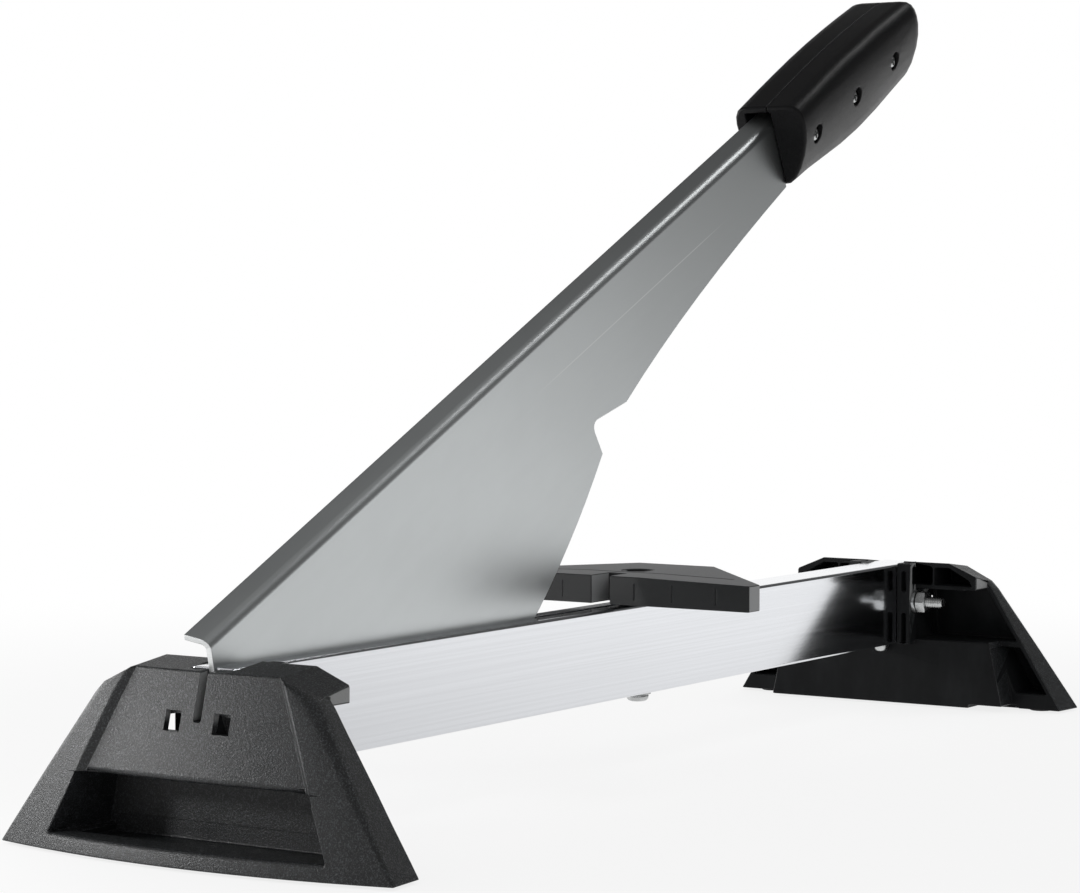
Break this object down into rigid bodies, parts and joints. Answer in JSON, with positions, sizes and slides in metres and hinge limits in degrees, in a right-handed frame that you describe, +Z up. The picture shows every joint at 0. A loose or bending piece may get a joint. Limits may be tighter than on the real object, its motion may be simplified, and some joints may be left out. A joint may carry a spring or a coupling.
{
  "type": "laminate cutter",
  "caption": "Hand lever with a long blade that drops through a slotted rectangular bar between two wide feet, with a grip and a stop across the bar",
  "frame": {"origin": "on the floor under the middle of the bar, midway between the two feet", "axes": "+X along the bar, from the pivot foot to the far foot; +Y to the left seen from the pivot foot; +Z up"},
  "size_m": [0.624, 0.188, 0.3605],
  "materials": {
    "moulded_plastic": "anthracite, fine moulded grain",
    "grip_plastic": "black, semi-gloss",
    "fence_plastic": "black, satin",
    "pad_rubber": "black, matt",
    "bar_aluminium": "drawn, bright",
    "blade_steel": "satin, galvanised",
    "zinc_steel": "zinc plated",
    "bush_plastic": "natural nylon"
  },
  "bodies": {
    "base": {"bar": "bar_aluminium", "bar_plug": "moulded_plastic", "foot_near": "moulded_plastic", "foot_far": "moulded_plastic", "foot_pad_1": "pad_rubber", "foot_pad_2": "pad_rubber", "foot_pad_3": "pad_rubber", "foot_pad_4": "pad_rubber", "pivot_bolt": "zinc_steel", "pivot_nut": "zinc_steel", "pivot_washer_left": "zinc_steel", "pivot_washer_right": "zinc_steel", "pivot_bush_left": "bush_plastic", "pivot_bush_right": "bush_plastic", "clamp_bolt": "zinc_steel", "clamp_nut": "zinc_steel", "clamp_washer_left": "zinc_steel", "clamp_washer_right": "zinc_steel", "plug_screw": "zinc_steel", "fence_washer": "zinc_steel", "fence_screw": "zinc_steel"},
    "lever": {"lever_blade": "blade_steel", "handle_left": "grip_plastic", "handle_right": "grip_plastic", "handle_screw_1": "zinc_steel", "handle_screw_2": "zinc_steel", "handle_screw_3": "zinc_steel"},
    "fence": {"fence": "fence_plastic", "fence_nut": "zinc_steel"}
  },
  "joints": [
    {"name": "lever_hinge", "type": "hinge", "parent": "base", "child": "lever", "pos_m": [-0.268, 0, 0.054], "axis": [0, -1, 0], "range_deg": [-15, 24]},
    {"name": "fence_hinge", "type": "hinge", "parent": "base", "child": "fence", "pos_m": [0.022, 0, 0.08], "axis": [0, 0, 1], "range_deg": [-5, 5]}
  ]
}
